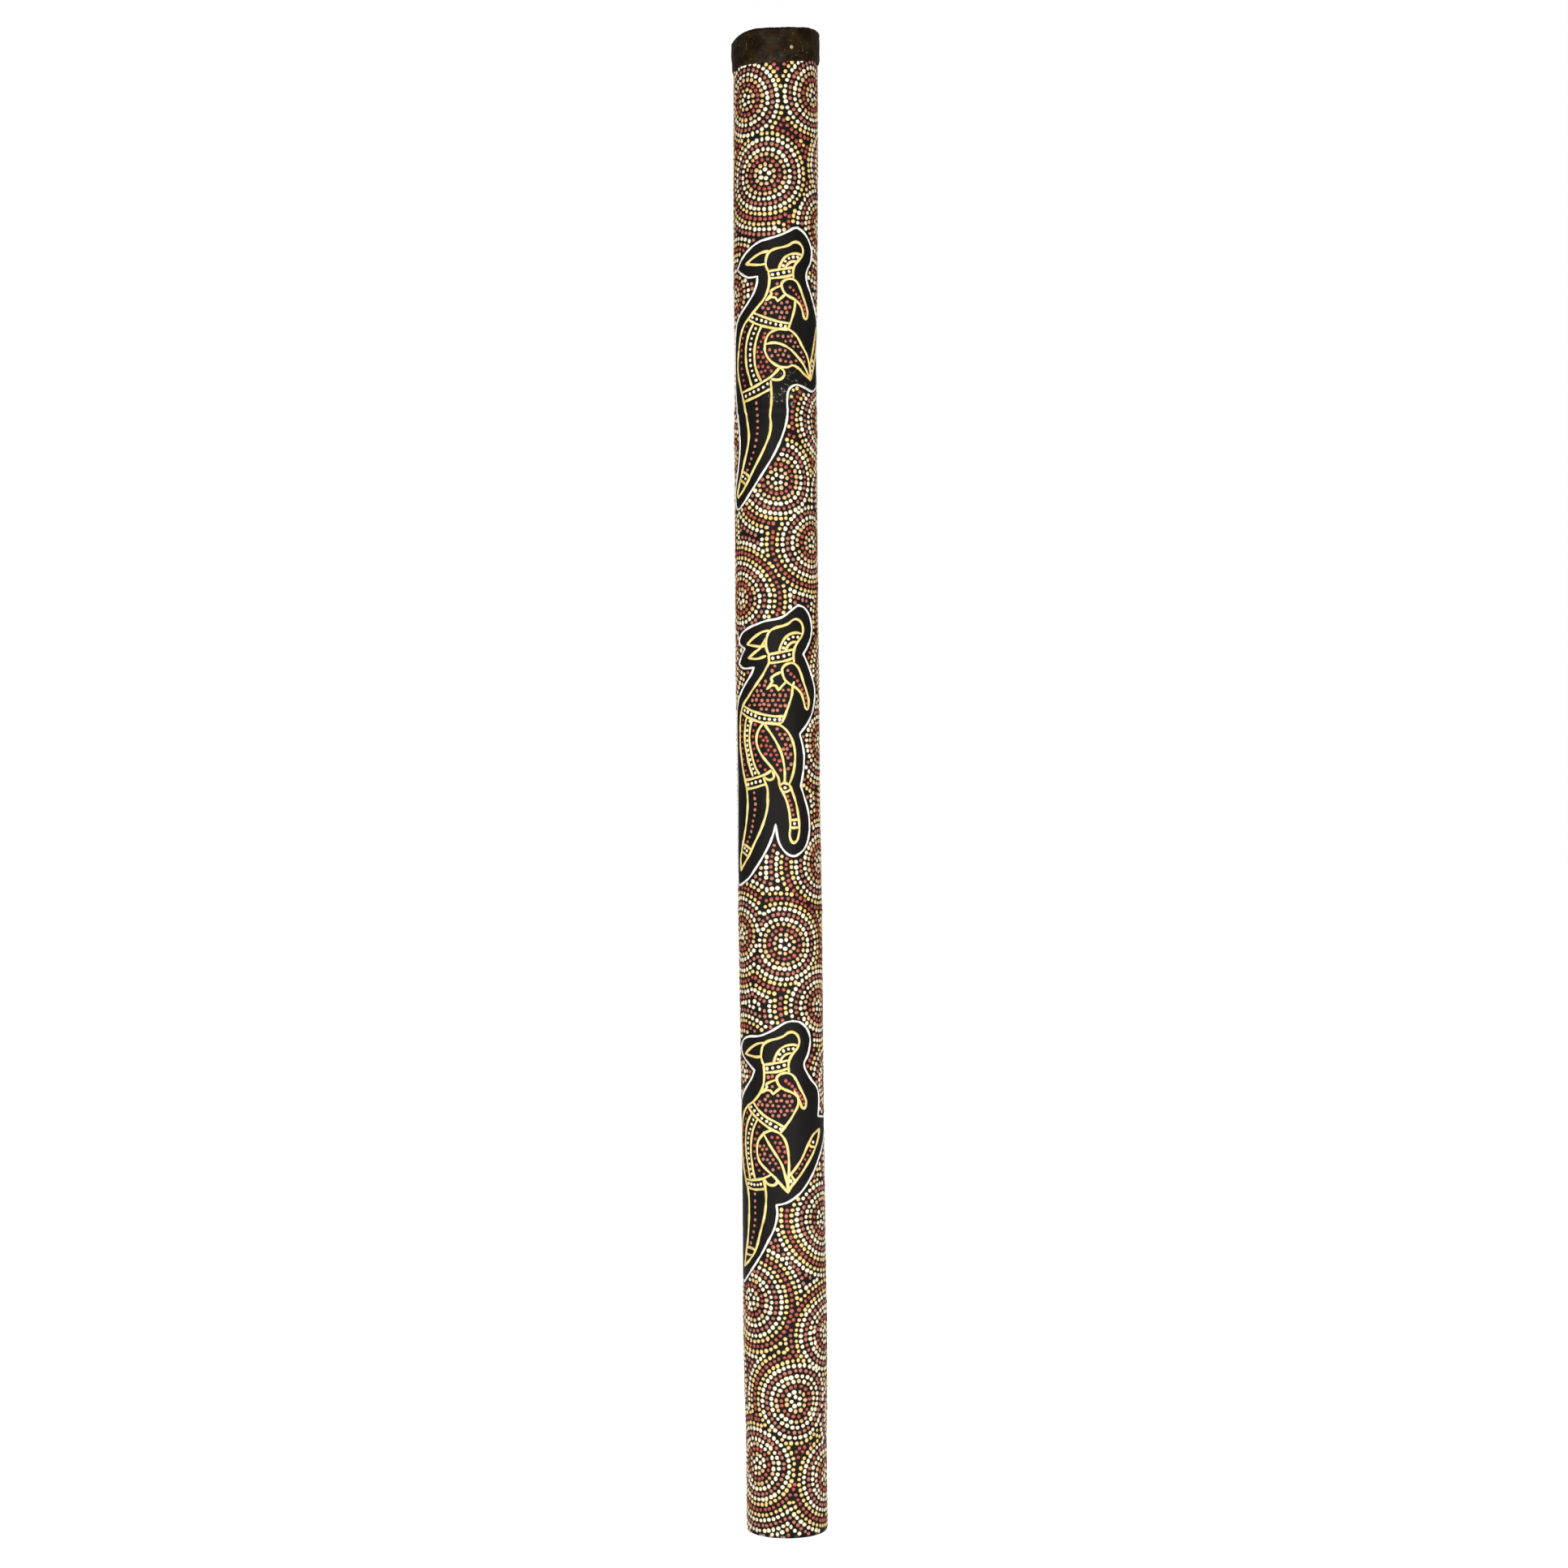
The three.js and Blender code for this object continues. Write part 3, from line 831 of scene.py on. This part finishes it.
            [(-31.4, 237), (-25.6, 236.8), (-19.8, 237.3), (-13.9, 238.6), (-8.4, 241.2)],
            [(-28.6, 231.9), (-24.4, 231), (-19.8, 230.8), (-12.2, 231.8)],
            [(-13, 238.4), (-11.4, 235.6), (-7.8, 234.2), (-4.8, 235.4), (-4.4, 238), (-6.2, 240.6)],
            [(-30.4, 191.4), (-26, 191.6), (-20.8, 190.4)],
            [(-31.6, 187), (-27.6, 186.6), (-23.8, 186.8)],
        ],
        "field": [(7.3, 343), (12.8, 342), (17.9, 338), (20.8, 332), (20.6, 326), (18.6, 319.7),
                  (15.7, 314.7), (17, 309.7), (21.8, 303.2), (27, 298.4), (29.6, 293), (29.6, 286),
                  (28.2, 278.6, "sharp"), (36, 277.6), (44, 277), (48, 271), (45, 264.6),
                  (40.5, 266, "sharp"), (35.4, 259.3), (29.6, 252), (25.2, 245.8), (19.9, 238.4),
                  (12.9, 230.2), (6.7, 225.2), (1, 222.4), (-4.8, 221.2, "sharp"), (-4.3, 214.8),
                  (-6.4, 205.9), (-10.9, 197), (-16.8, 187), (-24.9, 177), (-34.9, 168.2), (-41, 170),
                  (-45, 180), (-44, 205), (-42, 230), (-43, 252), (-43, 272), (-40, 286), (-35, 292.4),
                  (-27.4, 299.6), (-22.6, 304.8), (-20, 310, "sharp"), (-26, 314.4), (-33, 319),
                  (-37, 324), (-32.4, 329.4), (-25, 332.2), (-15.9, 333), (-9.5, 335.2), (-3.5, 338.4),
                  (2.2, 341.8), (7.3, 343)],
        "lines": [
            [(-13, 268.8), (-7.9, 270.6), (-3.4, 269.6), (0.8, 265.4), (3, 259.3), (3.8, 251.6),
             (3.8, 243), (3.4, 236), (3, 229.4, "sharp"), (-2.8, 236.2), (-7, 240.7), (-12.4, 245.4),
             (-16.8, 250), (-18.6, 256), (-17.6, 263), (-13, 268.8)],
            [(-13, 267.8), (-9, 261), (-4.4, 254), (-1.2, 248.6), (0.8, 242.6), (2.4, 236), (3, 229.4)],
            [(3, 229.4), (5.6, 233.9), (11.4, 240.4), (17, 247.6), (21.8, 253.8), (25.6, 259.6),
             (28.4, 265), (29.6, 270, "sharp"), (22.6, 266.6), (17.7, 260), (12.8, 251.4), (7.2, 244),
             (2.6, 239.4)],
            [(18.4, 260.8), (20.8, 259), (24.8, 258.4)],
            [(5.4, 241.4), (6.6, 238.6), (8.4, 237)],
        ],
        "rows": [
            ("white", 1.15, [(22.4, 262), (23, 262.4)], 1),
            ("white", 1.15, [(4.9, 237), (5.3, 237.2)], 1),
            ("red", 1.0, [(8.8, 242), (12.6, 247), (16.8, 252.4), (19.6, 256.4)], 6),
            ("white", 1.15, [(-23.4, 285.4), (-17.4, 280.6), (-11, 276.6), (-5.6, 273.6),
                             (-1.4, 271.6)], 8),
            ("white", 1.1, [(-21.6, 277), (-25.2, 270), (-27.4, 263), (-27.3, 256), (-26.2, 248.6),
                            (-23.8, 240.8)],
             12),
            ("white", 1.15, [(-27, 234.3), (-24, 233.9), (-20.6, 233.9), (-15.8, 234.6)], 5),
            ("salmon", 1.1, [(-21, 227.6), (-20.8, 219), (-21.4, 208), (-23.4, 199.6),
                             (-25.6, 194.6)], 9),
            ("red", 1.0, [(-28, 281), (-32.6, 272), (-34.4, 262), (-33.6, 251), (-31, 242)], 10),
            ("red", 1.15, [(-16.6, 272.4), (-19.4, 266), (-20.8, 258), (-20.4, 251.6), (-18, 244.6),
                           (-13.4, 241.6)],
             9),
        ],
        "fills": [("salmon", 1.25, [(-11, 308), (4, 310), (2, 301), (-4, 300), (-10, 294), (-2, 296),
                                    (6, 296), (9, 286), (0, 274), (-12, 281), (-21, 289), (-14, 298)]),
                  ("red", 1.25, [(-11, 269), (-4, 270), (3, 260), (3, 240), (1, 243), (-4, 254)]),
                  ("salmon", 1.2, [(-14, 266), (-18, 256), (-12, 246), (2, 232), (0, 243), (-6, 256)])],
    },
}

lineSizes = {
    "yellow": 0.9,    # half the width of a line
    "white": 0.78,
    "flatten": 0.55,
    "wobble": 0.14,
    "taper": 1.6,     # length of the thin end of a line
}


def placedOn(figure, points):  # a point of the common drawing, put on one figure
    own, real = np.array(figure["heights"]).T
    return [(p[0] + figure["shift"], float(np.interp(p[1], own, real)), *p[2:]) for p in points]


def inside(polygon, across, up):
    within = np.zeros(np.shape(across), bool)
    for (x0, y0), (x1, y1) in zip(polygon, np.roll(polygon, -1, axis=0)):
        if y0 != y1:
            within ^= ((y0 > up) != (y1 > up)) & (across < (x1 - x0) * (up - y0) / (y1 - y0) + x0)
    return within


def nearest(paths, across, up):  # distance from each point to the nearest of many path points
    spots = np.concatenate(paths)
    best = np.full(len(across), 1e9)
    for start in range(0, len(spots), 400):
        part = spots[start:start + 400]
        gaps = np.hypot(across[:, None] - part[:, 0], up[:, None] - part[:, 1])
        best = np.minimum(best, gaps.min(1))
    return best


dots = {paint: [] for paint in paints}  # across, up, radius


def addDots(paint, radius, places, wander=0.12):
    for across, up in places:
        size = radius * (1 + 0.08 * np.clip(chance.standard_normal(), -2.2, 1.6))
        across = across + wander * chance.standard_normal()
        up = up + wander * chance.standard_normal()
        dots[paint].append((across, up, size))


filling = {
    "spacing": 3.7,
    "wander": 0.35,
    "offLines": 2.0,  # from a painted line to the middle of a dot
}


def fillWithDots(paint, radius, region, lines):
    spacing = filling["spacing"]
    polygon = np.array(region, float)
    low, high = polygon.min(0), polygon.max(0)
    rowStep = spacing * 0.87
    across, up = np.meshgrid(np.arange(low[0], high[0], spacing), np.arange(low[1], high[1], rowStep))
    across = across + spacing / 2 * (np.arange(len(across)) % 2)[:, None]
    across, up = across.ravel(), up.ravel()
    across = across + filling["wander"] * chance.standard_normal(len(across))
    up = up + filling["wander"] * chance.standard_normal(len(up))
    kept = inside(polygon, across, up) & (nearest(lines, across, up) > filling["offLines"])
    addDots(paint, radius, zip(across[kept], up[kept]), 0)


def paintLines(name, paint, paths):
    data = bpy.data.curves.new(name, "CURVE")
    data.dimensions = "3D"
    data.bevel_depth = lineSizes[paint] * mm
    data.bevel_resolution = 2
    data.use_fill_caps = True
    for path in paths:
        closed = np.allclose(path[0], path[-1])
        path = path[:-1] if closed else path
        spline = data.splines.new("POLY")
        spline.points.add(len(path) - 1)
        spline.use_cyclic_u = closed
        place = np.zeros((len(path), 4))
        place[:, 0], place[:, 2] = path[:, 0] * mm, path[:, 1] * mm
        spline.points.foreach_set("co", place.ravel())
        along = np.concatenate([[0], np.cumsum(np.hypot(*np.diff(path, axis=0).T))])
        phase = chance.uniform(0, 6, 2)
        waves = np.sin(along / 3.1 + phase[0]) + 0.6 * np.sin(along / 1.3 + phase[1])
        swell = 1 + lineSizes["wobble"] * waves
        if not closed:
            fromEnd = np.minimum(along, along[-1] - along)
            swell *= 0.45 + 0.55 * np.sqrt(np.clip(fromEnd / lineSizes["taper"], 0, 1))
        spline.points.foreach_set("radius", swell)
    piece = bpy.data.objects.new(name, data)
    bpy.context.collection.objects.link(piece)
    makeActive(piece)
    bpy.ops.object.convert(target="MESH")
    piece = bpy.context.object
    wrapFlat(piece, lineSizes["flatten"])
    bpy.ops.object.shade_smooth()
    settle(piece, "stick", f"{paint}_dots", linePaints[paint])


fields = []
for name, figure in figures.items():
    field = smoothPath(figure["field"])
    fields.append(field)
    yellow = [smoothPath(placedOn(figure, line)) for line in kangaroo["lines"]]
    yellow += [smoothPath(line) for line in figure["body"] + figure["lines"]]
    paintLines(f"{name}_outline", "white", [field])
    paintLines(f"{name}_kangaroo", "yellow", yellow)
    for paint, radius, line, count in kangaroo["rows"]:
        addDots(paint, radius, evenly(placedOn(figure, line), count))
    for paint, radius, line, count in figure["rows"]:
        addDots(paint, radius, evenly(line, count)[:count])
    for paint, radius, region in figure["fills"]:
        fillWithDots(paint, radius, region, yellow)
print("figures painted")


# Rings of dots all over the rest.

rings = {
    "first": 3.1,          # radius of the innermost ring
    "gap": 3.45,           # between rings
    "pitch": 3.65,         # along a ring
    "closest": 2.65,       # centres of two dots
    "spare": 3.1,          # a gap this wide between rings is filled
    "most": 26,            # rings round one centre
    "offLines": 2.15,      # from a painted line to a ring's dot
    "spareOffLines": 2.2,  # and to a filling dot
    "missed": 0.006,       # share of dots left out
    "searchStep": 0.9,     # of the grid in which gaps are looked for
    "order": ("white", "cream", "red", "cream", "white", "salmon",
              "white", "yellow", "red", "yellow", "white", "salmon"),
    "low": 2.5,            # lowest and highest dots
    "high": 979.4,
    "radius": {"white": 1.52, "cream": 1.42, "yellow": 1.4, "salmon": 1.32, "red": 1.34},
    "whiterBelow": 330,    # height under which some of the cream dots are white
    "whiterShare": 0.4,
    "height": 0.43,
    "zones": 3,            # the dots of a colour are parted by height into so many pieces
    "centres": [           # degrees round from the front, height
        (-15, 904), (-45, 955), (62, 959), (2, 702), (59, 661), (-60, 624), (5.5, 394), (14, 91),
        (-53, 157), (67, 210), (70, 134), (-47, 48), (74, 38), (-75, 826), (78, 528), (72, 448),
        (-66, 400), (64, 352), (-70, 308), (80, 872), (88, 742), (-82, 720), (-88, 520), (20, 1010),
        (98, 300), (-90, 232),
    ],
    "backColumns": (104, 140, 176, 212, 248),
    "backStep": 56,
    "backApart": 38,
}


def ringCentres():
    centres = [(math.radians(angle) * stick["girth"], height) for angle, height in rings["centres"]]
    around = 2 * math.pi * stick["girth"]
    for i, angle in enumerate(rings["backColumns"]):
        for height in np.arange(20 + 28 * (i % 2), rings["high"] + 20, rings["backStep"]):
            across = math.radians(angle) * stick["girth"] + chance.uniform(-5, 5)
            up = height + chance.uniform(-8, 8)
            across = (across + around / 2) % around - around / 2
            gaps = [math.hypot((across - a + around / 2) % around - around / 2, up - b) for a, b in centres]
            if min(gaps) > rings["backApart"]:
                centres.append((across, up))
    return np.array(centres), around


def ringDots():
    centres, around = ringCentres()
    paths = [field[::2] for field in fields]
    found = []
    for index, (middle, level) in enumerate(centres):
        phase = chance.uniform(0, 6, 2)
        for ring in range(rings["most"]):
            radius = rings["first"] + ring * rings["gap"]
            count = round(2 * math.pi * radius / rings["pitch"])
            turn = np.arange(count) * 2 * math.pi / count + chance.uniform(0, 6)
            turn = turn + 0.05 * chance.standard_normal(count) * rings["gap"] / radius
            reach = radius * (1 + 0.025 * np.sin(2 * turn + phase[0]) + 0.015 * np.sin(3 * turn + phase[1]))
            reach = reach + 0.09 * chance.standard_normal(count)
            across = middle + reach * np.cos(turn)
            up = level + reach * np.sin(turn)
            apart = (across[:, None] - centres[:, 0] + around / 2) % around - around / 2
            gaps = np.hypot(apart, up[:, None] - centres[:, 1])
            mine = (gaps.argmin(1) == index) & (np.abs(across - middle) < around / 2)
            across = (across + around / 2) % around - around / 2
            mine &= (up > rings["low"]) & (up < rings["high"])
            for a, b in zip(across[mine], up[mine]):
                found.append((ring, a, b))
    found.sort(key=lambda dot: dot[0])
    across, up = np.array([dot[1] for dot in found]), np.array([dot[2] for dot in found])
    clear = nearest(paths, across, up) > rings["offLines"]
    for field in fields:
        clear &= ~inside(field, across, up)
    return [dot for dot, ok in zip(found, clear) if ok], centres, around, paths


def thinOut(found, centres, around, paths):  # drops what crowds, then fills the gaps that are left
    cells = {}
    cellSize = 4.0
    columns = round(around / cellSize)

    def roomAt(across, up, room):
        column, row = int((across + around / 2) / around * columns), int(up / cellSize)
        for i in (-1, 0, 1):
            for j in (-1, 0, 1):
                for a, b in cells.get(((column + i) % columns, row + j), ()):
                    apart = (across - a + around / 2) % around - around / 2
                    if apart * apart + (up - b) ** 2 < room * room:
                        return False
        cells.setdefault((column % columns, row), []).append((across, up))
        return True

    kept = []
    for ring, across, up in found:
        if chance.random() > rings["missed"] and roomAt(across, up, rings["closest"]):
            kept.append((ring, across, up))
    step = rings["searchStep"]
    heights = np.arange(rings["low"], rings["high"], step)
    across, up = np.meshgrid(np.arange(-around / 2, around / 2, step), heights)
    across, up = across.ravel(), up.ravel()
    order = chance.permutation(len(across))
    across, up = across[order], up[order]
    clear = np.ones(len(across), bool)
    for field in fields:
        clear &= ~inside(field, across, up)
    across, up = across[clear], up[clear]
    spare = nearest(paths, across, up) > rings["spareOffLines"]
    for a, b in zip(across[spare], up[spare]):
        if roomAt(a, b, rings["spare"]):
            apart = (a - centres[:, 0] + around / 2) % around - around / 2
            ring = round((np.hypot(apart, b - centres[:, 1]).min() - rings["first"]) / rings["gap"])
            kept.append((max(ring, 0), a, b))
    return kept


for ring, across, up in thinOut(*ringDots()):
    paint = rings["order"][ring % len(rings["order"])]
    if paint == "cream" and up < rings["whiterBelow"] and chance.random() < rings["whiterShare"]:
        paint = "white"
    addDots(paint, rings["radius"][paint], [(across, up)], 0.06)
print("rings laid out,", sum(map(len, dots.values())), "dots")


def makeDot():  # one dot, a millimetre in radius, with the little point that the brush leaves
    deselectAll()
    bpy.ops.mesh.primitive_circle_add(vertices=9, radius=mm, fill_type="NGON", location=(0, 0, -0.4 * mm))
    piece = justAdded("dot")
    bpy.ops.object.mode_set(mode="EDIT")
    bpy.ops.mesh.select_all(action="SELECT")
    for rise, share in ((0.45, 1.0), (0.45, 0.86), (0.35, 0.6), (0.14, 0.36), (0.09, 0.5)):
        bpy.ops.mesh.extrude_region_move(TRANSFORM_OT_translate={"value": (0, 0, rise * mm)})
        bpy.ops.transform.resize(value=(share, share, 1))
    bpy.ops.mesh.select_all(action="SELECT")
    bpy.ops.mesh.normals_make_consistent(inside=False)
    bpy.ops.object.mode_set(mode="OBJECT")
    corners = pointsOf(piece)
    corners[:, 2] -= corners[:, 2].min() + 0.4
    faces = [list(face.vertices) for face in piece.data.polygons]
    bpy.data.objects.remove(piece)
    return corners, faces


def plantDots(name, paint, places):
    corners, faces = dotShape
    across, up, radius = np.array(places).T[:, :, None]
    spin = chance.uniform(0, 2 * math.pi, across.shape)
    squash = 1 + 0.06 * chance.standard_normal(across.shape)
    x = corners[:, 0] * np.cos(spin) - corners[:, 1] * np.sin(spin)
    y = corners[:, 0] * np.sin(spin) + corners[:, 1] * np.cos(spin)
    tall = rings["height"] * (1 + 0.15 * chance.standard_normal(across.shape))
    lift = np.where(corners[:, 2] > 0, corners[:, 2] * tall, corners[:, 2])
    points = ontoStick(across + x * radius * squash, up + y * radius / squash, lift).reshape(-1, 3)
    sizes = np.array([len(face) for face in faces])
    loops = np.array(sum(faces, [])) + np.arange(len(places))[:, None] * len(corners)
    mesh = bpy.data.meshes.new(name)
    mesh.vertices.add(len(points))
    mesh.vertices.foreach_set("co", points.ravel())
    mesh.loops.add(loops.size)
    mesh.loops.foreach_set("vertex_index", loops.ravel())
    mesh.polygons.add(len(faces) * len(places))
    starts = np.concatenate([[0], np.cumsum(np.tile(sizes, len(places)))[:-1]])
    mesh.polygons.foreach_set("loop_start", starts)
    mesh.update(calc_edges=True)
    outward = np.tile(np.hypot(corners[:, 0], corners[:, 1]), len(places))
    shade = np.repeat(chance.random(len(places)), len(corners))
    for key, values in (("dotOutward", outward), ("dotShade", shade)):
        mesh.attributes.new(key, "FLOAT", "POINT").data.foreach_set("value", values)
    piece = bpy.data.objects.new(name, mesh)
    bpy.context.collection.objects.link(piece)
    makeActive(piece)
    bpy.ops.object.shade_smooth()
    settle(piece, "stick", f"{paint}_dots", paints[paint])


dotShape = makeDot()
zoneTops = np.linspace(0, 1000, rings["zones"] + 1)[1:]
for paint, places in dots.items():
    zones = np.searchsorted(zoneTops, [place[1] for place in places])
    for zone in range(rings["zones"]):
        plantDots(f"{paint}_dots_{zone + 1}", paint, [p for p, z in zip(places, zones) if z == zone])
print("dots planted")


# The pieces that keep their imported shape.

keptFinishes = {"upper_plug": "plug", "lower_plug": "plug", "lower_dowel": "pin", "rain_pin": "pin",
                "pebble": "pebble"}
for name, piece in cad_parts.items():
    for start, finish in keptFinishes.items():
        if name.startswith(start):
            piece.data.materials.clear()
            piece.data.materials.append(finishes[finish])
print("packed pieces finished")

deselectAll()
